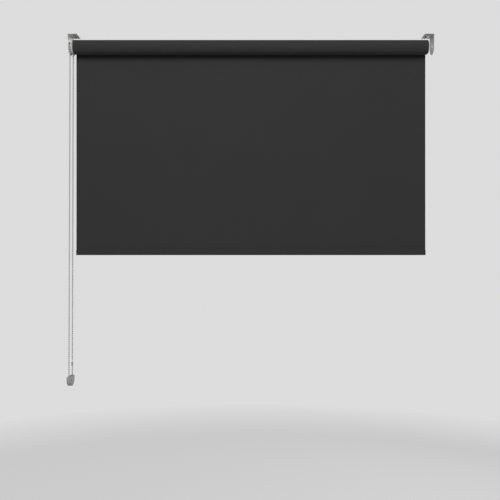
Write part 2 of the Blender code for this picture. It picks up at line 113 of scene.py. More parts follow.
def camera():
    data = bpy.data.cameras.new("camera")
    data.lens = LENS
    made = bpy.data.objects.new("camera", data)
    made.location = CAMERA_PLACE
    made.rotation_euler = (math.radians(90), 0, 0)
    bpy.context.scene.collection.objects.link(made)
    bpy.context.scene.camera = made


def area_light(name, place, size, power):
    data = bpy.data.lights.new(name, "AREA")
    data.shape = "DISK"
    data.size = size
    data.energy = power
    made = bpy.data.objects.new(name, data)
    made.location = place
    aim = Vector(LIGHT_TARGET) - Vector(place)
    made.rotation_euler = aim.to_track_quat("-Z", "Y").to_euler()
    made.visible_camera = False
    bpy.context.scene.collection.objects.link(made)


def studio():
    """Two soft lights, and a plain backdrop that is brighter to the camera than as a light."""
    world = bpy.data.worlds.new("studio")
    world.use_nodes = True
    nodes, links = world.node_tree.nodes, world.node_tree.links
    glow = nodes["Background"]
    rays = nodes.new("ShaderNodeLightPath")
    seen = nodes.new("ShaderNodeMixRGB")
    seen.inputs["Color1"].default_value = (*AMBIENT, 1)
    seen.inputs["Color2"].default_value = (*BACKDROP, 1)
    links.new(rays.outputs["Is Camera Ray"], seen.inputs["Fac"])
    links.new(seen.outputs[0], glow.inputs["Color"])
    bpy.context.scene.world = world
    bpy.context.scene.view_settings.view_transform = "Standard"
    for name, (place, size, power) in LIGHTS.items():
        area_light(name, place, size, power)


camera()
studio()


# ---------------------------------------------------------------- materials
class Look:
    """A material: its Principled shader, and short ways to add nodes in front of it."""

    def __init__(self, name, **sockets):
        self.material = bpy.data.materials.new(name)
        self.material.use_nodes = True
        self.nodes = self.material.node_tree.nodes
        self.links = self.material.node_tree.links
        self.shader = self.nodes["Principled BSDF"]
        for socket, value in sockets.items():
            self.shader.inputs[socket.replace("_", " ")].default_value = value

    def node(self, kind, **values):
        """A node with its sockets set, either to numbers or by links."""
        made = self.nodes.new("ShaderNode" + kind)
        for socket, value in values.items():
            self.feed(made.inputs[socket.replace("_", " ")], value)
        return made

    def feed(self, socket, value):
        if isinstance(value, bpy.types.NodeSocket):
            self.links.new(value, socket)
        else:
            socket.default_value = value

    def place(self):
        """Metres in the scene's own X, Y and Z."""
        return self.node("TexCoord").outputs["Object"]

    def cloth_place(self):
        """Metres across and along the cloth, from the mesh's own map."""
        made = self.node("UVMap")
        made.uv_map = "cloth"
        return made.outputs["UV"]

    def maths(self, operation, *values):
        """A Math node's result, from numbers or links."""
        made = self.node("Math")
        made.operation = operation
        for socket, value in zip(made.inputs, values):
            self.feed(socket, value)
        return made.outputs[0]

    def noise(self, place, scale, detail=2.0, stretch=(1, 1, 1)):
        mapped = self.node("Mapping", Vector=place, Scale=stretch).outputs[0]
        return self.node("TexNoise", Vector=mapped, Scale=scale, Detail=detail).outputs["Fac"]

    def between(self, share, low, high):
        """A number from low to high as share goes from 0.3 to 0.7, where noise mostly lies."""
        values = {"Value": share, "From_Min": 0.3, "From_Max": 0.7, "To_Min": low, "To_Max": high}
        return self.node("MapRange", **values).outputs[0]

    def colour(self, share, dark, light):
        """The base colour, from dark to light as share goes from 0 to 1."""
        made = self.node("MixRGB")
        self.feed(made.inputs["Fac"], share)
        self.feed(made.inputs["Color1"], (*dark, 1))
        self.feed(made.inputs["Color2"], (*light, 1))
        self.links.new(made.outputs[0], self.shader.inputs["Base Color"])

    def roughness(self, share, low, high):
        self.links.new(self.between(share, low, high), self.shader.inputs["Roughness"])

    def bump(self, height, distance, strength=1.0):
        made = self.node("Bump", Height=height, Distance=distance, Strength=strength)
        self.links.new(made.outputs[0], self.shader.inputs["Normal"])


def shaded(colour, share):
    return tuple(share * part for part in colour)


WEAVE_PITCH = 0.00055
CHARCOAL_DARK = (0.0248, 0.0248, 0.0253)
CHARCOAL_LIGHT = (0.0512, 0.0512, 0.0518)
SLUBS = ((9, 260, 260), (260, 9, 9))  # thick places that run along X, and down the cloth


def woven(name, coordinates, down):
    """Charcoal blackout cloth: a plain weave of slightly uneven yarns under a matt coating, its colour darker in
    the hollows between the yarns as painted shade.

    The yarns run along the X of the coordinates and along their axis called down.
    """
    look = Look(name, Sheen_Weight=0.12, Sheen_Roughness=0.45, Specular_IOR_Level=0.35)
    place = coordinates(look)
    parts = look.node("SeparateXYZ", Vector=place).outputs
    wander = look.maths("MULTIPLY", look.noise(place, 55), 0.6)
    waves = []
    for part in ("X", down):
        turns = look.maths("MULTIPLY", parts[part], math.pi / WEAVE_PITCH)
        waves.append(look.maths("SINE", look.maths("ADD", turns, wander)))
    threads = look.maths("ABSOLUTE", look.maths("MULTIPLY", *waves))
    slubs = [look.noise(place, 1.0, 1.0, stretch) for stretch in SLUBS]
    uneven = look.maths("MULTIPLY", look.maths("ADD", *slubs), 0.5)
    cloudy = look.noise(place, 7, 3.0)
    # painted shade: the colour follows the yarns' height, darker in the hollows of the weave; the slubs and cloudy
    # noise are the yarns' own uneven tone
    yarns = look.maths("MULTIPLY", threads, 0.6)
    tone = look.maths("ADD", yarns, look.maths("MULTIPLY", uneven, 0.4))
    tone = look.maths("ADD", look.maths("MULTIPLY", cloudy, 0.1), tone)
    look.colour(look.between(tone, 0.0, 1.0), CHARCOAL_DARK, CHARCOAL_LIGHT)
    look.roughness(uneven, 0.82, 0.95)
    height = look.maths("ADD", threads, look.maths("MULTIPLY", uneven, 0.8))
    look.bump(height, 0.00009, 0.6)
    return look.material


def moulded(name, colour, low, high, grain=1400, depth=0.00002):
    """Injection-moulded plastic: a fine spark-eroded grain and slightly uneven gloss."""
    look = Look(name, Specular_IOR_Level=0.5)
    place = look.place()
    blotches = look.noise(place, 45, 3.0)
    fine = look.noise(place, grain, 2.0)
    look.colour(look.between(blotches, 0.0, 1.0), shaded(colour, 0.94), shaded(colour, 1.03))
    look.roughness(look.maths("MULTIPLY", look.maths("ADD", blotches, fine), 0.5), low, high)
    look.bump(fine, depth, 0.5)
    return look.material


def powder_coated(name, colour):
    """Sprayed powder: a shallow orange peel, thinner and duller in places."""
    look = Look(name, Coat_Weight=0.25, Coat_Roughness=0.18)
    place = look.place()
    peel = look.noise(place, 620, 1.5)
    blotches = look.noise(place, 38, 3.0)
    look.colour(look.between(blotches, 0.0, 1.0), shaded(colour, 0.95), shaded(colour, 1.02))
    look.roughness(blotches, 0.32, 0.46)
    look.bump(peel, 0.00006, 0.5)
    return look.material


def drawn_metal(name, colour, tint, low, high, stretch):
    """Metal with the fine lines of drawing or turning, and a stain of tint here and there.

    Its roughness goes from low to high. stretch is how often the lines change along X, Y and Z.
    """
    look = Look(name, Metallic=1.0)
    place = look.place()
    lines = look.noise(place, 1.0, 2.0, stretch)
    stains = look.noise(place, 120, 3.0)
    share = look.maths("MULTIPLY", look.maths("ADD", lines, stains), 0.5)
    look.colour(look.between(share, 0.0, 1.0), tint, colour)
    look.roughness(lines, low, high)
    look.bump(lines, 0.00001, 0.4)
    return look.material


def polyester_string(name):
    """The cord inside the beads: fine twisted yarn."""
    look = Look(name, Sheen_Weight=0.2)
    place = look.place()
    twist = look.noise(place, 1.0, 1.0, (2400, 2400, 900))
    look.colour(look.between(twist, 0.0, 1.0), (0.42, 0.42, 0.40), (0.66, 0.66, 0.63))
    look.roughness(twist, 0.6, 0.85)
    look.bump(twist, 0.00008, 0.6)
    return look.material


HUNG_CLOTH = woven("hung_cloth", Look.place, "Z")
WOUND_CLOTH = woven("wound_cloth", Look.cloth_place, "Y")
WHITE_PLASTIC = moulded("white_plastic", (0.80, 0.80, 0.785), 0.30, 0.44)
# painted shade: white moulded plastic darkened to mid grey for the shade that the tidy hangs in
TIDY_PLASTIC_SHADED = moulded("tidy_plastic", (0.46, 0.46, 0.45), 0.34, 0.48)
# light grey beads; part of their grey is painted shade, the plastic's tone lowered from white for the shade the
# chain hangs in
BEAD_PLASTIC_PART_SHADE = moulded("bead_plastic", (0.60, 0.60, 0.59), 0.18, 0.30, 900, 0.00001)
GREY_NYLON = moulded("grey_nylon", (0.42, 0.43, 0.44), 0.42, 0.58)
CAP_PLASTIC = moulded("cap_plastic", (0.030, 0.030, 0.031), 0.42, 0.56)
STRING = polyester_string("bead_string")
POWDER_COAT = powder_coated("powder_coat", (0.74, 0.74, 0.73))
ZINC = drawn_metal("zinc_plate", (0.66, 0.66, 0.68), (0.50, 0.51, 0.55), 0.22, 0.36, (300, 300, 300))
ALUMINIUM = drawn_metal(
    "mill_aluminium", (0.80, 0.80, 0.82), (0.68, 0.69, 0.71), 0.28, 0.42, (12, 1500, 1500)
)
SPRING_STEEL = drawn_metal(
    "spring_steel", (0.40, 0.40, 0.41), (0.22, 0.21, 0.22), 0.22, 0.36, (900, 900, 900)
)


# ---------------------------------------------------------------- modelling tools
def show(name, mesh, *materials):
    """An object for the mesh, in the scene, with its materials."""
    made = bpy.data.objects.new(name, mesh)
    bpy.context.scene.collection.objects.link(made)
    for material in materials:
        mesh.materials.append(material)
    return made


SHARP_DEGREES = 35  # edges that turn by more stay sharp


def built(name, shape, *materials):
    """Turns a bmesh into a smooth-shaded object."""
    bmesh.ops.recalc_face_normals(shape, faces=shape.faces)
    mesh = bpy.data.meshes.new(name)
    shape.to_mesh(mesh)
    shape.free()
    mesh.shade_smooth()
    mesh.set_sharp_from_angle(angle=math.radians(SHARP_DEGREES))
    return show(name, mesh, *materials)


def flat_shading(made):
    """Large faces keep their own normals, and the roundings beside them take up the turn."""
    weighted = made.modifiers.new("normals", "WEIGHTED_NORMAL")
    weighted.keep_sharp = True
    return made


def arc(centre, radius, start, end, steps):
    """Points on an arc, in degrees from the first axis towards the second."""
    angles = [math.radians(start + (end - start) * i / steps) for i in range(steps + 1)]
    return [(centre[0] + radius * math.cos(a), centre[1] + radius * math.sin(a)) for a in angles]


def circle(centre, radius, steps=32):
    return arc(centre, radius, 0, 360, steps)[:-1]


def rounded_box(centre, width, height, radius, steps=6):
    """A rectangle whose corners are arcs."""
    half_w, half_h = width / 2 - radius, height / 2 - radius
    points = []
    for across, up, start in ((1, 1, 0), (-1, 1, 90), (-1, -1, 180), (1, -1, 270)):
        at = (centre[0] + across * half_w, centre[1] + up * half_h)
        points += arc(at, radius, start, start + 90, steps)
    return points


def fillet(points, size, closed, steps=3):
    """The outline with each real corner rounded, by size where its sides are long enough."""
    rounded = []
    count = len(points)
    for i, point in enumerate(points):
        at = Vector(point)
        before, after = Vector(points[i - 1]), Vector(points[(i + 1) % count])
        end_point = not closed and i in (0, count - 1)
        if end_point or (at - before).angle(after - at, 0) < math.radians(20):
            rounded.append(at)
            continue
        reach = [min(size, 0.45 * (other - at).length) for other in (before, after)]
        start = at + (before - at).normalized() * reach[0]
        end = at + (after - at).normalized() * reach[1]
        for k in range(steps + 1):
            share = k / steps
            rounded.append(start.lerp(at, share).lerp(at.lerp(end, share), share))
    return rounded


def turned(name, profile, material, rounding=0.0003, closed=True, steps=72, matrix=ON_AXIS):
    """A turned piece: its profile is (along X, radius) points, closed or ending on the axis."""
    points = fillet(profile, rounding, closed)
    count = len(points)
    shape = bmesh.new()
    rings = []
    for k in range(steps):
        angle = 2 * math.pi * k / steps
        across, up = math.cos(angle), math.sin(angle)
        rings.append([shape.verts.new((p.x, p.y * across, p.y * up)) for p in points])
    for k, ring in enumerate(rings):
        beside = rings[(k + 1) % steps]
        for i in range(count if closed else count - 1):
            j = (i + 1) % count
            shape.faces.new((ring[i], ring[j], beside[j], beside[i]))
    bmesh.ops.remove_doubles(shape, verts=shape.verts, dist=1e-7)
    shape.transform(matrix)
    return built(name, shape, material)


def facing(loop, inward):
    """The loop's points in the order that keeps the material on their left."""
    twice_area = sum(a[0] * b[1] - b[0] * a[1] for a, b in zip(loop, loop[1:] + loop[:1]))
    return loop[::-1] if (twice_area > 0) == inward else loop


def inset(loop, distance):
    """The loop moved to its left by distance, corners mitred."""
    moved = []
    count = len(loop)
    for i, point in enumerate(loop):
        at = Vector(point)
        into = (at - Vector(loop[i - 1])).normalized()
        out = (Vector(loop[(i + 1) % count]) - at).normalized()
        side = Vector((-into.y - out.y, into.x + out.x)).normalized()
        mitre = max(0.5, side.dot(Vector((-into.y, into.x))))
        moved.append(at + side * distance / mitre)
    return moved


def plate_shape(loops, low, high, edge, steps=3):
    """A bmesh plate with holes, from low to high along Z, its rims rounded by edge."""
    levels = []
    for k in range(steps + 1):
        angle = math.pi / 2 * k / steps
        levels.append((edge * (1 - math.sin(angle)), edge * (1 - math.cos(angle))))
    heights = [(gone, low + up) for gone, up in levels]
    heights += [(gone, high - up) for gone, up in reversed(levels)]
    shape = bmesh.new()
    caps = [[], []]
    for number, loop in enumerate(loops):
        loop = facing([tuple(point) for point in loop], number > 0)
        rings = []
        for gone, height in heights:
            rings.append([shape.verts.new((*point, height)) for point in inset(loop, gone)])
        count = len(loop)
        for ring, above in zip(rings, rings[1:]):
            for i in range(count):
                j = (i + 1) % count
                shape.faces.new((ring[i], ring[j], above[j], above[i]))
        for cap, ring in zip(caps, (rings[0], rings[-1])):
            cap += [shape.edges.get((ring[i - 1], ring[i])) for i in range(count)]
    for cap in caps:
        bmesh.ops.triangle_fill(shape, use_beauty=True, use_dissolve=False, edges=cap)
    return shape


# plate_shape's own X, Y, Z laid along world Y, Z, X
ALONG_X = Matrix(((0, 0, 1, 0), (1, 0, 0, 0), (0, 1, 0, 0), (0, 0, 0, 1)))


def plate(name, loops, low, high, material, edge=0.0003):
    """A plate from X = low to X = high, whose loops are (y, z) points."""
    shape = plate_shape(loops, low, high, edge)
    shape.transform(ALONG_X)
    return flat_shading(built(name, shape, material))


def block(low, high):
    """A plain box, for cutting."""
    shape = bmesh.new()
    bmesh.ops.create_cube(shape, size=1.0)
    low, high = Vector(low), Vector(high)
    bmesh.ops.scale(shape, vec=high - low, verts=shape.verts)
    bmesh.ops.translate(shape, vec=(low + high) / 2, verts=shape.verts)
    return built("cutter", shape)


def carve(made, cutter, operation="DIFFERENCE"):
    """Cuts the cutter out of a piece, or adds it, and removes the cutter."""
    weighted = "normals" in made.modifiers
    made.modifiers.clear()
    change = made.modifiers.new("carve", "BOOLEAN")
    change.operation = operation
    change.object = cutter
    bpy.context.view_layer.update()
    result = made.evaluated_get(bpy.context.evaluated_depsgraph_get())
    made.data = bpy.data.meshes.new_from_object(result)
    made.modifiers.remove(change)
    bpy.data.objects.remove(cutter)
    made.data.shade_smooth()
    made.data.set_sharp_from_angle(angle=math.radians(SHARP_DEGREES))
    if weighted:
        flat_shading(made)
    return made


def stands_for(made, body, node):
    """The piece rides on the body and replaces the CAD node."""
    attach(made, body)
    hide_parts(node)
    return made


def tube_along(shape, points, radius, sides=8, material_index=0):
    """Adds a round tube with closed ends, through the points, to a bmesh."""
    rings = []
    normal = None
    last = len(points) - 1
    for i, point in enumerate(points):
        along = (Vector(points[min(i + 1, last)]) - Vector(points[max(i - 1, 0)])).normalized()
        if normal is None:
            normal = along.orthogonal().normalized()
        normal = (normal - along * normal.dot(along)).normalized()
        other = along.cross(normal)
        ring = []
        for k in range(sides):
            angle = 2 * math.pi * k / sides
            offset = normal * math.cos(angle) + other * math.sin(angle)
            ring.append(shape.verts.new(Vector(point) + offset * radius))
        rings.append(ring)
    faces = []
    for ring, after in zip(rings, rings[1:]):
        for k in range(sides):
            j = (k + 1) % sides
            faces.append(shape.faces.new((ring[k], ring[j], after[j], after[k])))
    faces.append(shape.faces.new(rings[0][::-1]))
    faces.append(shape.faces.new(rings[-1]))
    for face in faces:
        face.material_index = material_index


# ---------------------------------------------------------------- bead chain
def strand_x(z):
    """The strands lean slightly towards the wall, from the chain wheel to the tidy."""
    return CHAIN_X + (TIDY_X - CHAIN_X) * (AXIS_Z - z) / (AXIS_Z - TIDY_Z)


def strand(y, start, end, count):
    """Points down or up one strand, which hangs at that y."""
    heights = [start + (end - start) * i / count for i in range(count + 1)]
    return [(strand_x(z), y, z) for z in heights]


def chain_route():
    """From below the joiner round the tidy, up the front, over the wheel and down the back."""
    below, above = JOINER_LOW.z - JOINER_GAP, JOINER_HIGH.z + JOINER_GAP
    route = strand(PITCH_RADIUS, below, TIDY_Z, 1)
    route += [(TIDY_X, y, z) for y, z in arc((0, TIDY_Z), PITCH_RADIUS, 0, -180, 24)[1:-1]]
    route += strand(-PITCH_RADIUS, TIDY_Z, AXIS_Z, 18)
    route += [(CHAIN_X, y, z) for y, z in arc((0, AXIS_Z), PITCH_RADIUS, 180, 0, 36)[1:-1]]
    return route + strand(PITCH_RADIUS, AXIS_Z, above, 18)


def point_at(route, lengths, distance):
    """The point that lies that far along the route."""
    for i in range(1, len(route)):
        if distance <= lengths[i] or i == len(route) - 1:
            share = (distance - lengths[i - 1]) / (lengths[i] - lengths[i - 1])
            return Vector(route[i - 1]).lerp(Vector(route[i]), share)


def ball(radius, across, down):
    """A ball's corners and its faces, as lists."""
    shape = bmesh.new()
    bmesh.ops.create_uvsphere(shape, u_segments=across, v_segments=down, radius=radius)
    shape.verts.index_update()
    corners = [vert.co.copy() for vert in shape.verts]
    faces = [[vert.index for vert in face.verts] for face in shape.faces]
    shape.free()
    return corners, faces


def bead_chain():
    """Beads in the wheel's pockets and at the same pitch all along the string.

    Gives back the piece, its route and its length.
    """
    route = chain_route()
    lengths = [0.0]
    for a, b in zip(route, route[1:]):
        lengths.append(lengths[-1] + (Vector(b) - Vector(a)).length)
    top = lengths[max(range(len(route)), key=lambda i: route[i][2])]
    first = math.ceil((BEAD_RADIUS - top) / BEAD_PITCH)
    last = math.floor((lengths[-1] - BEAD_RADIUS - top) / BEAD_PITCH)
    ball_corners, ball_faces = ball(BEAD_RADIUS, 16, 10)
    corners, faces = [], []
    for k in range(first, last + 1):
        at = point_at(route, lengths, top + k * BEAD_PITCH)
        faces += [[len(corners) + i for i in face] for face in ball_faces]
        corners += [at + corner for corner in ball_corners]
    beads = bpy.data.meshes.new("beads")
    beads.from_pydata(corners, [], faces)
    shape = bmesh.new()
    shape.from_mesh(beads)
    tube_along(shape, route, STRING_RADIUS, material_index=1)
    made = built("chain_beads", shape, BEAD_PLASTIC_PART_SHADE, STRING)
    return stands_for(made, "root", "bead_chain"), route, lengths[-1]


WAIST_DEPTH = 0.0006
SLOT_HALF_WIDTH = 0.0003
SLOT_FLOOR = 0.0018  # from the joiner's middle line
SLOT_END = 0.0022  # from the joiner's ends


def chain_joiner():
    """The snap-on barrel that makes the chain endless: two sockets with a waist and a slot."""
    middle = (JOINER_LOW + JOINER_HIGH) / 2
    half, radius = (JOINER_HIGH.z - JOINER_LOW.z) / 2, (JOINER_HIGH.y - JOINER_LOW.y) / 2
    profile = [(-half, 0), (-half, 0.0016), (-half + 0.0007, 0.0021), (-half + 0.0018, radius)]
    profile += [(-0.0016, radius), (-0.0006, radius - WAIST_DEPTH)]
    profile += [(-along, reach) for along, reach in reversed(profile)]
    upright = Matrix.Translation(middle) @ Matrix.Rotation(math.radians(90), 4, "Y")
    made = turned("chain_joiner", profile, BEAD_PLASTIC_PART_SHADE, 0.0006, False, 40, upright)
    slot_low = middle + Vector((-SLOT_HALF_WIDTH, -0.006, -half + SLOT_END))
    slot_high = middle + Vector((SLOT_HALF_WIDTH, -SLOT_FLOOR, half - SLOT_END))
    carve(made, block(slot_low, slot_high))
    return stands_for(made, "root", "chain_connector")


chain, CHAIN_ROUTE, CHAIN_LENGTH = bead_chain()
chain_joiner()


# ---------------------------------------------------------------- cloth
def thicken(made):
    """Gives a sheet its thickness. Its cut edges don't round the shading beside them."""
    thick = made.modifiers.new("thickness", "SOLIDIFY")
    thick.thickness = CLOTH_THICK
    thick.offset = 0.0
    return flat_shading(made)


def ribbon(name, rows, columns, material):
    """Cloth through rows of (y, z, along the cloth, trim at each end), the same all across.

    columns are shares of the width from -1 to 1. The map called cloth holds metres.
    """
    shape = bmesh.new()
    uv = shape.loops.layers.uv.new("cloth")
    lines, places = [], {}
    for y, z, along, trim in rows:
        line = []
        for share in columns:
            x = share * (CLOTH_HALF - trim)
            vert = shape.verts.new((x, y, z))
            places[vert] = (x, along)
            line.append(vert)
        lines.append(line)
    for line, after in zip(lines, lines[1:]):
        for i in range(len(columns) - 1):
            face = shape.faces.new((line[i], line[i + 1], after[i + 1], after[i]))
            for loop in face.loops:
                loop[uv].uv = places[loop.vert]
    mesh = bpy.data.meshes.new(name)
    shape.to_mesh(mesh)
    shape.free()
    mesh.shade_smooth()
    return thicken(show(name, mesh, material))


def even_columns(count):
    return [-1 + 2 * i / count for i in range(count + 1)]


TURNS = 9.25  # the inner end is locked in the tube's groove, which is at the top
STEPS_A_TURN = 72
WANDER = 0.00022  # how far a layer's edge lies inside the roll's ends, on average


def wound_cloth():
    """The cloth still on the tube, as one spiral whose layers show at both ends."""
    innermost = TUBE_RADIUS + 0.8 * CLOTH_THICK
    total = int(TURNS * STEPS_A_TURN)
    rows = []
    along = 0.0
    for i in range(total + 1):
        angle = 2 * math.pi * i / STEPS_A_TURN
        radius = CLOTH_Y + (innermost - CLOTH_Y) * i / total
        ramp = min(1.0, i / STEPS_A_TURN)
        trim = WANDER * ramp * (1 - math.cos(0.61 * angle + 0.4 * math.sin(0.23 * angle)))
        rows.append((radius * math.cos(angle), AXIS_Z + radius * math.sin(angle), -along, trim))
        along += radius * 2 * math.pi / STEPS_A_TURN
    made = ribbon("cloth_wound", rows, even_columns(12), WOUND_CLOTH)
    return stands_for(made, "roller", "fabric_roll")


SHEET_END_Z = HEM_HIGH.z + 0.0006  # where the hanging cloth becomes the hem's front ply
CURL_WIDTH = 0.009
CURL_DEPTH = 0.0006


def hanging_cloth():
    """Cloth drawn flat by the bar: faint upright waves, and side edges that curl back a little."""
    shape = bmesh.new()
    rows, columns = 90, 200
    length = AXIS_Z - SHEET_END_Z
    grid = []
    for r in range(rows + 1):
        down = r / rows
        z = AXIS_Z - length * down
        held = math.sin(math.pi * down) ** 0.5 if 0 < down < 1 else 0.0
        line = []
        for c in range(columns + 1):
            share = -1 + 2 * c / columns
            x = CLOTH_HALF * math.copysign(abs(share) ** 0.8, share)
            wave = 0.00022 * math.sin(11 * x + 0.7) + 0.00012 * math.sin(29 * x + 2.1 * down)
            wave += 0.00010 * math.sin(53 * x - 3.0 * down + 1.3)
            edge = max(0.0, 1 - (CLOTH_HALF - abs(x)) / CURL_WIDTH)
            y = CLOTH_Y + held * (wave + CURL_DEPTH * edge**2)
            line.append(shape.verts.new((x, y, z)))
        grid.append(line)
    for line, below in zip(grid, grid[1:]):
        for c in range(columns):
            shape.faces.new((line[c], line[c + 1], below[c + 1], below[c]))
    mesh = bpy.data.meshes.new("cloth_hanging")
    shape.to_mesh(mesh)
    shape.free()
    mesh.shade_smooth()
    return thicken(show("cloth_hanging", mesh, HUNG_CLOTH))


def stretch_with_bar(made):
    """The cloth lengthens evenly between the roll and the bar.

    The even share that replaces it keeps every row of the cloth between the roll and the bar,
    also when the bar is all the way up.
    """
    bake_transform(made, "root", "bottom_bar", (0, CLOTH_Y, AXIS_Z), (0, CLOTH_Y, SHEET_END_Z))
    shares = made.data.attributes["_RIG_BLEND"].data
    for vert, share in zip(made.data.vertices, shares):
        share.value = min(1.0, max(0.0, (AXIS_Z - vert.co.z) / (AXIS_Z - SHEET_END_Z)))


def smooth_line(points, steps):
    """A smooth line through the points, by Catmull and Rom's rule."""
    points = [Vector(p) for p in points]
    points = [2 * points[0] - points[1], *points, 2 * points[-1] - points[-2]]
    line = []
    for a, b, c, d in zip(points, points[1:], points[2:], points[3:]):
        for k in range(steps):
            t = k / steps
            line.append(0.5 * (2 * b + (c - a) * t + (2 * a - 5 * b + 4 * c - d) * t * t
                               + (3 * b - a - 3 * c + d) * t**3))
    return [*line, points[-2]]


HEM_DEPTH = (HEM_HIGH.y - HEM_LOW.y - CLOTH_THICK) / 2  # from the hanging cloth to either ply
WELD_DEPTH = 0.0002  # of the pressed line along the pocket's front
FLAP = 0.0034  # how far the back ply reaches up behind the hanging cloth


def hem_line():
    """The pocket's cloth from the side: down the front, round the bottom and up the back."""
    top, low = HEM_HIGH.z, HEM_LOW.z + CLOTH_THICK / 2
    d = HEM_DEPTH
    front = [(0, SHEET_END_Z), (-0.12 * d, top - 0.0003), (-0.50 * d, top - 0.0009)]
    front += [(-0.84 * d, top - 0.0022), (-0.985 * d, top - 0.0038), (-d, top - 0.0046)]
    pressed = d - WELD_DEPTH
    front += [(-pressed, top - 0.0051), (-pressed, top - 0.0064), (-d, top - 0.0069)]
    bottom = [(-d, low + 0.0045), (-0.93 * d, low + 0.0019), (-0.64 * d, low + 0.0003)]
    bottom += [(0, low), (0.64 * d, low + 0.0003), (0.93 * d, low + 0.0019), (d, low + 0.0045)]
    back = [(d, top - 0.0075), (0.985 * d, top - 0.0042), (0.84 * d, top - 0.0022)]
    back += [(0.52 * d, top - 0.0008), (0.22 * d, top + 0.0001), (1.15 * CLOTH_THICK, top + 0.0012)]
    back += [(1.05 * CLOTH_THICK, top + FLAP)]
    line = smooth_line(front + bottom + back, 5)
    return [(CLOTH_Y + point.x, point.y) for point in line]


def hem_pocket():
    """The pocket for the flat bar, its back ply welded to the cloth above it."""
    rows = []
    along = 0.0
    line = hem_line()
    for i, (y, z) in enumerate(line):
        if i:
            along += math.hypot(y - line[i - 1][0], z - line[i - 1][1])
        rows.append((y, z, along, CLOTH_HALF - HEM_HIGH.x))
    made = ribbon("cloth_hem", rows, even_columns(60), WOUND_CLOTH)
    return stands_for(made, "bottom_bar", "hem_sleeve")


wound_cloth()
hem = hem_pocket()
hanging = hanging_cloth()
stretch_with_bar(hanging)
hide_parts("fabric_panel")


# ---------------------------------------------------------------- ends of the bottom bar
CAP_FACE = 0.0010  # its thickness
CAP_CORNER = 0.0034
TONGUE_INSET = 0.0012
TONGUE_CORNER = 0.0018


def bar_caps():
    """Moulded end caps that follow the pocket's outline, each with a tongue inside the pocket."""
    middle = (CLOTH_Y, (HEM_LOW.z + HEM_HIGH.z) / 2)
    depth, height = HEM_HIGH.y - HEM_LOW.y, HEM_HIGH.z - HEM_LOW.z
    for label, side in (("left", -1), ("right", 1)):
        node = f"bar_cap_{label}"
        low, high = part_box(node)
        outline = rounded_box(middle, depth, height, CAP_CORNER)
        inner, outer = sorted((abs(low.x), abs(high.x)))
        face = plate(f"bar_end_{label}", [outline], outer - CAP_FACE, outer, CAP_PLASTIC, 0.00035)
        inside = (depth - 2 * TONGUE_INSET, height - 2 * TONGUE_INSET)
        loop = rounded_box(middle, *inside, TONGUE_CORNER)
        tongue = plate("cutter", [loop], inner, outer - CAP_FACE / 2, CAP_PLASTIC, 0.0004)
        tongue.modifiers.clear()
        carve(face, tongue, "UNION")
        if side < 0:
            face.data.transform(Matrix.Diagonal((-1, 1, 1, 1)))
            face.data.flip_normals()
        stands_for(face, "bottom_bar", node)


bar_caps()


# ---------------------------------------------------------------- brackets
BEND_INSIDE = 0.0012  # radius
BEND_OUTSIDE = BEND_INSIDE + BRACKET_SHEET
BEND_STEPS = 8
BLANK_CORNER = 0.0028
SCREW_X, SCREW_Y = 0.499, 0.012  # of the screws' holes, either side of the middle
SCREW_HOLE = 0.0023
HOOK_Y = 0.0085  # the clutch hooks into two windows, either side of the axis
WINDOW = (0.004, 0.006)
SPINDLE_HOLE = 0.0034
BUSH_HOLE = 0.0059


def bracket(label, side, upright, sockets):
    """One bent and powder-coated sheet, from a flat blank that is punched first and bent after.

    The blank lies in (across, along), along from the foot of the top plate to the upright's end.
    upright and sockets are given in (y, z) as they stand, and laid out flat here.
    """
    node = f"{label}_bracket"
    low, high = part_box(node)
    outer = max(abs(low.x), abs(high.x))
    foot = min(abs(low.x), abs(high.x))
    bend_x = outer - BEND_OUTSIDE
    bend_start = bend_x - foot
    middle_radius = BEND_INSIDE + BRACKET_SHEET / 2
    bend_end = bend_start + math.pi / 2 * middle_radius

    def laid_flat(loop):
        return [(y, bend_end - BEND_OUTSIDE - z) for y, z in loop]

    half = high.y
    blank = fillet([(half, 0), (-half, 0)] + laid_flat(upright), BLANK_CORNER, True, 5)
    holes = [circle((row * SCREW_Y, SCREW_X - foot), SCREW_HOLE, 24) for row in (-1, 1)]
    shape = plate_shape([blank, *holes, *map(laid_flat, sockets)], 0, BRACKET_SHEET, 0.00025)
    for k in range(BEND_STEPS + 1):
        at = bend_start + (bend_end - bend_start) * k / BEND_STEPS
        everything = [*shape.verts, *shape.edges, *shape.faces]
        bmesh.ops.bisect_plane(shape, geom=everything, plane_co=(0, at, 0), plane_no=(0, 1, 0))
    for vert in shape.verts:
        across, along, depth = vert.co
        if along <= bend_start:
            x, z = foot + along, -BRACKET_SHEET + depth
        elif along <= bend_end:
            angle = (along - bend_start) / middle_radius
            reach = BEND_INSIDE + depth
            x, z = bend_x + reach * math.sin(angle), -BEND_OUTSIDE + reach * math.cos(angle)
        else:
            x, z = outer - BRACKET_SHEET + depth, -BEND_OUTSIDE - (along - bend_end)
        vert.co = (side * x, across, z)
    made = flat_shading(built(f"bracket_plate_{label}", shape, POWDER_COAT))
    return stands_for(made, "root", node)


def brackets():
    """The chain side's upright narrows behind the clutch. The idle side's is round-ended."""
    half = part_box("left_bracket")[1].y
    waist = AXIS_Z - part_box("left_bracket")[0].z
    upright = [(-half, -0.005), (-waist, -0.0175)]
    upright += arc((0, AXIS_Z), waist, 180, 360, 28) + [(waist, -0.0175), (half, -0.005)]
    windows = [rounded_box((row * HOOK_Y, AXIS_Z), *WINDOW, 0.0006, 3) for row in (-1, 1)]
    bracket("left", -1, upright, [circle((0, AXIS_Z), SPINDLE_HOLE), *windows])
    round_end = AXIS_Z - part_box("right_bracket")[0].z
    upright = [(-half, -0.004), (-round_end, -0.008)]
    upright += arc((0, AXIS_Z), round_end, 180, 360, 40) + [(round_end, -0.008), (half, -0.004)]
    bracket("right", 1, upright, [circle((0, AXIS_Z), BUSH_HOLE)])


brackets()


# ---------------------------------------------------------------- screws
RECESS_DEPTH = 0.0011
TIDY_SCREW_HEIGHT = 0.0020


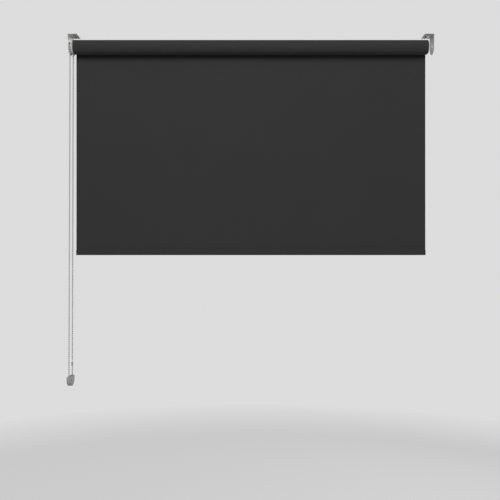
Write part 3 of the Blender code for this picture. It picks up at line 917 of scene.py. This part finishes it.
def pan_screw(node, matrix, head, height, length):
    """A pan head of that radius and height, with a cross recess, on a shank of that length.

    Its own +X points out of the head, from the head's underside.
    """
    shank = 0.5 * head
    profile = [(height, 0), (height * 0.94, head * 0.45), (height * 0.62, head * 0.85)]
    profile += [(height * 0.2, head), (0, head), (0, shank), (-length, shank), (-length, 0)]
    made = turned(f"pan_{node}", profile, ZINC, 0.00025, False, 36, Matrix.Identity(4))
    wing, deep = 0.11 * head, 0.55 * head
    for half_y, half_z in ((wing, deep), (deep, wing)):
        bottom, above = height - RECESS_DEPTH, height + 0.001
        carve(made, block((bottom, -half_y, -half_z), (above, half_y, half_z)))
    made.data.transform(matrix)
    stands_for(made, "root", node)


def screws():
    """The bracket screws point up into the ceiling, and the tidy screws towards the wall."""
    downward = Matrix.Rotation(math.radians(90), 4, "Y")
    for label in ("left", "right"):
        for row in ("front", "back"):
            node = f"{label}_screw_{row}"
            low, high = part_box(node)
            middle = (low + high) / 2
            head = (high.x - low.x) / 2
            under = high.z - BRACKET_SHEET
            at = Matrix.Translation((middle.x, middle.y, under)) @ downward
            pan_screw(node, at, head, under - low.z, BRACKET_SHEET)
    for row in ("front", "back"):
        node = f"tidy_screw_{row}"
        low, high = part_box(node)
        middle = (low + high) / 2
        head = (high.y - low.y) / 2
        under = high.x - TIDY_SCREW_HEIGHT
        at = Matrix.Translation((under, middle.y, middle.z))
        pan_screw(node, at, head, TIDY_SCREW_HEIGHT, under - low.x)


screws()


# ---------------------------------------------------------------- clutch
OUTER_FACE, OUTER_INSIDE = -0.5127, -0.5115  # X of the outer guard disc's two sides
INNER_FACE, INNER_INSIDE = -0.5018, -0.5045  # X of the inner guard disc's two sides
SHELL_SPLIT = -0.50805
SHELL_GAP = 0.00015
HOOD_INNER = 0.0206
HOOD_END_Z = AXIS_Z + 0.007  # the chain leaves the hood below this height
INNER_BORE = 0.0106
OUTER_LIP, INNER_LIP = 0.00065, 0.00045  # left on each disc below the hood
HOOK_HALF_Y, HOOK_HALF_Z = 0.0014, 0.0024


def clutch_shells():
    """Two guard discs whose shared hood closes over the chain wheel."""
    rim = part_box("clutch_outer_shell")[1].y
    outer_split, inner_split = SHELL_SPLIT - SHELL_GAP, SHELL_SPLIT + SHELL_GAP
    outer = [
        (OUTER_INSIDE, SPINDLE_HOLE),
        (OUTER_INSIDE, HOOD_INNER),
        (outer_split, HOOD_INNER),
        (outer_split, rim),
        (OUTER_FACE + 0.0006, rim),
        (OUTER_FACE, rim - 0.0006),
        (OUTER_FACE, SPINDLE_HOLE),
    ]
    inner = [
        (INNER_FACE, INNER_BORE),
        (INNER_FACE, rim - 0.0032),
        (INNER_FACE - 0.0004, rim - 0.0012),
        (INNER_FACE - 0.0012, rim),
        (inner_split, rim),
        (inner_split, HOOD_INNER),
        (INNER_INSIDE, HOOD_INNER),
        (INNER_INSIDE, INNER_BORE),
    ]
    # below the hood each shell keeps only its disc and a low lip
    for label, profile, low, high in (
        ("outer", outer, OUTER_INSIDE + OUTER_LIP, -0.5),
        ("inner", inner, -0.52, INNER_INSIDE - INNER_LIP),
    ):
        shell = turned(f"clutch_guard_{label}", profile, WHITE_PLASTIC, 0.00025, steps=96)
        carve(shell, block((low, -0.03, AXIS_Z - 0.03), (high, 0.03, HOOD_END_Z)))
        if label == "outer":
            for row in (-1, 1):
                hook_low = (-0.5144, row * HOOK_Y - HOOK_HALF_Y, AXIS_Z - HOOK_HALF_Z)
                hook_high = (-0.5120, row * HOOK_Y + HOOK_HALF_Y, AXIS_Z + HOOK_HALF_Z)
                carve(shell, block(hook_low, hook_high), "UNION")
        stands_for(shell, "root", f"clutch_{label}_shell")


WHEEL_OUTER, WHEEL_INNER = -0.5112, -0.5048  # X of the wheel's two sides
CHEEK = 0.0007  # thickness of the wheel's raised edges
SLEEVE_END = -0.4780
STRING_GROOVE = 0.0009  # half its width
POCKET_RADIUS = 0.00242


def chain_wheel():
    """The wheel with a half-round pocket for each bead and a groove for the string."""
    cheek, rim, groove, sleeve = 0.0190, 0.0171, 0.0157, 0.0102
    bore, sleeve_bore = 0.0064, 0.0086
    step = WHEEL_INNER + 0.0008
    profile = [
        (WHEEL_OUTER, bore),
        (step, bore),
        (step, sleeve_bore),
        (SLEEVE_END, sleeve_bore),
        (SLEEVE_END, sleeve),
        (WHEEL_INNER, sleeve),
        (WHEEL_INNER, cheek),
        (WHEEL_INNER - CHEEK, cheek),
        (WHEEL_INNER - CHEEK, rim),
        (CHAIN_X + STRING_GROOVE, rim),
        (CHAIN_X + STRING_GROOVE, groove),
        (CHAIN_X - STRING_GROOVE, groove),
        (CHAIN_X - STRING_GROOVE, rim),
        (WHEEL_OUTER + CHEEK, rim),
        (WHEEL_OUTER + CHEEK, cheek),
        (WHEEL_OUTER, cheek),
    ]
    # grey nylon, a usual colour for such wheels, is also in part painted shade: it darkens the slot between the
    # white guard discs
    wheel = turned("chain_wheel_pocketed", profile, GREY_NYLON, 0.0002, steps=90)
    pockets = bmesh.new()
    for i in range(POCKETS):
        angle = 2 * math.pi * (i + 0.5) / POCKETS
        y, z = PITCH_RADIUS * math.cos(angle), AXIS_Z + PITCH_RADIUS * math.sin(angle)
        at = Matrix.Translation((CHAIN_X, y, z))
        round_by = {"u_segments": 16, "v_segments": 10, "radius": POCKET_RADIUS}
        bmesh.ops.create_uvsphere(pockets, matrix=at, **round_by)
    carve(wheel, built("cutter", pockets))
    stands_for(wheel, "chain_wheel", "sprocket")


WRAP_WIRE, WRAP_RADIUS, WRAP_TURNS = 0.0005, 0.0073, 8  # wire is its radius
PUSH_WIRE, PUSH_RADIUS, PUSH_TURNS = 0.00045, 0.0036, 10


def coil(name, radius, start, end, turns, wire, closed_turns=1.0):
    """A spring about the roller's axis, with its end turns laid close."""
    per_turn = 28
    count = int(turns * per_turn)
    points = []
    tight = 2.2 * wire * closed_turns
    for i in range(count + 1):
        turn = i / per_turn
        inside = min(max((turn - closed_turns) / (turns - 2 * closed_turns), 0), 1)
        ends = min(turn, closed_turns) + max(0, turn - (turns - closed_turns))
        along = start + ends * tight + inside * (end - start - 2 * tight * closed_turns)
        angle = 2 * math.pi * turn
        points.append((along, radius * math.cos(angle), AXIS_Z + radius * math.sin(angle)))
    shape = bmesh.new()
    tube_along(shape, points, wire, 10)
    return built(name, shape, SPRING_STEEL)


def springs():
    """The clutch's two wrap springs, and the spring behind the idle pin."""
    for label in ("outer", "inner"):
        node = f"clutch_spring_{label}"
        low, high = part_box(node)
        ends = (low.x + WRAP_WIRE, high.x - WRAP_WIRE)
        made = coil(f"wrap_{node}", WRAP_RADIUS, *ends, WRAP_TURNS, WRAP_WIRE, 0.5)
        stands_for(made, "chain_wheel", node)
    low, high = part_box("pin_spring")
    ends = (low.x + PUSH_WIRE, high.x - PUSH_WIRE)
    made = coil("pin_push_spring", PUSH_RADIUS, *ends, PUSH_TURNS, PUSH_WIRE)
    stands_for(made, "roller", "pin_spring")
    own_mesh(made)


clutch_shells()
chain_wheel()
springs()


# ---------------------------------------------------------------- idle end
PLUG_START = 0.4660
PLUG_RADIUS = 0.0144
FLANGE_LOW, FLANGE_HIGH = 0.5003, 0.5025
FLANGE_RADIUS = 0.0175
PIN_RADIUS = 0.0030
PIN_HOLE = 0.0034
SPRING_HOLE = 0.0056
COLLAR_RADIUS = 0.0052
BUSH_FACE, BUSH_STEP, BUSH_BACK = 0.5108, 0.5127, 0.5148


def idle_plug():
    """The flanged plug, with a slot for the tube's groove and a dished face round a raised hub."""
    dish = FLANGE_HIGH - 0.0007
    profile = [
        (PLUG_START, 0),
        (PLUG_START, PLUG_RADIUS),
        (FLANGE_LOW, PLUG_RADIUS),
        (FLANGE_LOW, FLANGE_RADIUS),
        (FLANGE_HIGH - 0.0004, FLANGE_RADIUS),
        (FLANGE_HIGH, 0.0171),
        (FLANGE_HIGH, 0.0152),
        (dish, 0.0148),
        (dish, 0.0074),
        (FLANGE_HIGH, 0.0070),
        (FLANGE_HIGH, PIN_HOLE),
        (0.4980, PIN_HOLE),
        (0.4980, SPRING_HOLE),
        (PLUG_START + 0.0020, SPRING_HOLE),
        (PLUG_START + 0.0020, 0),
    ]
    plug = turned("idle_flanged_plug", profile, WHITE_PLASTIC, 0.0003, False)
    slot_half, slot_floor = 0.0035, AXIS_Z + TUBE_RADIUS - 0.0037
    slot = block((0.46, -slot_half, slot_floor), (0.4996, slot_half, AXIS_Z + TUBE_RADIUS))
    carve(plug, slot)
    stands_for(plug, "roller", "idle_plug")


def idle_pin():
    """The sprung pin, with a collar inside the plug, a fine groove and a chamfered tip."""
    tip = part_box("idle_pin")[1].x
    profile = [
        (0.4925, 0),
        (0.4925, 0.0020),
        (0.4955, 0.0020),
        (0.4955, COLLAR_RADIUS),
        (0.4975, COLLAR_RADIUS),
        (0.4975, PIN_RADIUS),
        (0.5062, PIN_RADIUS),
        (0.5064, PIN_RADIUS - 0.0003),
        (0.5068, PIN_RADIUS - 0.0003),
        (0.5070, PIN_RADIUS),
        (tip - 0.0009, PIN_RADIUS),
        (tip, 0.0020),
        (tip, 0),
    ]
    pin = turned("idle_push_pin", profile, ZINC, 0.0002, False, 48)
    stands_for(pin, "pin", "idle_pin")


def idle_bush():
    """The flanged bush in the bracket, which the pin turns in."""
    profile = [
        (BUSH_BACK, PIN_HOLE),
        (BUSH_BACK, 0.0055),
        (BUSH_STEP, 0.0055),
        (BUSH_STEP, 0.0075),
        (BUSH_FACE, 0.0075),
        (BUSH_FACE, PIN_HOLE),
    ]
    bush = turned("idle_flanged_bush", profile, WHITE_PLASTIC, 0.0004, steps=56)
    stands_for(bush, "root", "idle_bush")


idle_plug()
idle_pin()
idle_bush()


# ---------------------------------------------------------------- chain tidy
CHANNEL_OUTER, CHANNEL_HUB = 0.0199, 0.0144  # radii of the way that the chain lies in
CHANNEL_FLOOR = -0.5148  # X
TIDY_SCREW_Y = 0.0065
TIDY_SCREW_DROP = 0.0035  # below the middle of the chain's bend
TIDY_SCREW_HOLE = 0.0021


def d_shape(radius, top, steps=40):
    """A half disc with its round side down and straight sides up to top, as (y, z) points."""
    return [(radius, top), (-radius, top)] + arc((0, TIDY_Z), radius, 180, 360, steps)


def chain_tidy():
    """A channel for the chain's lower bend, its screwed lid over it."""
    low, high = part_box("tidy_base")
    lid_low, lid_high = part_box("tidy_cover")
    outline = fillet(d_shape(high.y, high.z), 0.0016, True, 4)
    outer, hub, above = CHANNEL_OUTER, CHANNEL_HUB, high.z + 0.002
    channel = [(outer, above)] + arc((0, TIDY_Z), outer, 360, 180, 40) + [(-outer, above)]
    channel += [(-hub, above)] + arc((0, TIDY_Z), hub, 180, 360, 32) + [(hub, above)]
    screws_z = TIDY_Z - TIDY_SCREW_DROP
    holes = [circle((row * TIDY_SCREW_Y, screws_z), TIDY_SCREW_HOLE, 28) for row in (-1, 1)]
    base = plate("tidy_channel", [outline, *holes], low.x, high.x, TIDY_PLASTIC_SHADED, 0.0004)
    carve(base, plate("cutter", [channel], CHANNEL_FLOOR, -0.505, TIDY_PLASTIC_SHADED, 0.0))
    stands_for(base, "root", "tidy_base")
    lid = plate("tidy_lid", [outline, *holes], lid_low.x, lid_high.x, TIDY_PLASTIC_SHADED, 0.0005)
    stands_for(lid, "root", "tidy_cover")


chain_tidy()


# ---------------------------------------------------------------- CAD pieces that stay
KEPT_NODES = {
    "clutch_core": GREY_NYLON,
    "drive_drum": GREY_NYLON,
    "core_washer": ZINC,
    "core_screw": ZINC,
    "roller_tube": ALUMINIUM,
    "bottom_lath": ALUMINIUM,
    "fabric_spline": WHITE_PLASTIC,
}
for node, material in KEPT_NODES.items():
    mesh = frame["nodes"][node].data
    mesh.materials.clear()
    mesh.materials.append(material)
    mesh.shade_smooth()
    mesh.set_sharp_from_angle(angle=math.radians(SHARP_DEGREES))


# ---------------------------------------------------------------- floor
FLOOR_Z = -2.0
FLOOR_RADIUS = 30
FADE_START, FADE_END = 1.5, 4.5  # distances from the middle
LEAST_FADE = 0.72


def floor():
    """A pale floor that fades, to the camera, into the backdrop, so that no horizon shows."""
    shape = bmesh.new()
    bmesh.ops.create_circle(shape, cap_ends=True, segments=96, radius=FLOOR_RADIUS)
    bmesh.ops.translate(shape, vec=(0, 0, FLOOR_Z), verts=shape.verts)
    look = Look("pale_floor", Base_Color=(0.7, 0.7, 0.7, 1), Roughness=0.9)
    distance = look.node("VectorMath", Vector=look.place())
    distance.operation = "LENGTH"
    ends = {"From_Min": FADE_START, "From_Max": FADE_END}
    fade = look.node("MapRange", Value=distance.outputs["Value"], **ends)
    seen = look.node("LightPath").outputs["Is Camera Ray"]
    share = look.maths("MULTIPLY", seen, look.maths("MAXIMUM", fade.outputs[0], LEAST_FADE))
    glow = look.node("Emission", Color=(*BACKDROP, 1))
    mix = look.node("MixShader", Fac=share)
    look.links.new(look.shader.outputs[0], mix.inputs[1])
    look.links.new(glow.outputs[0], mix.inputs[2])
    look.links.new(mix.outputs[0], look.nodes["Material Output"].inputs["Surface"])
    built("floor", shape, look.material)


floor()
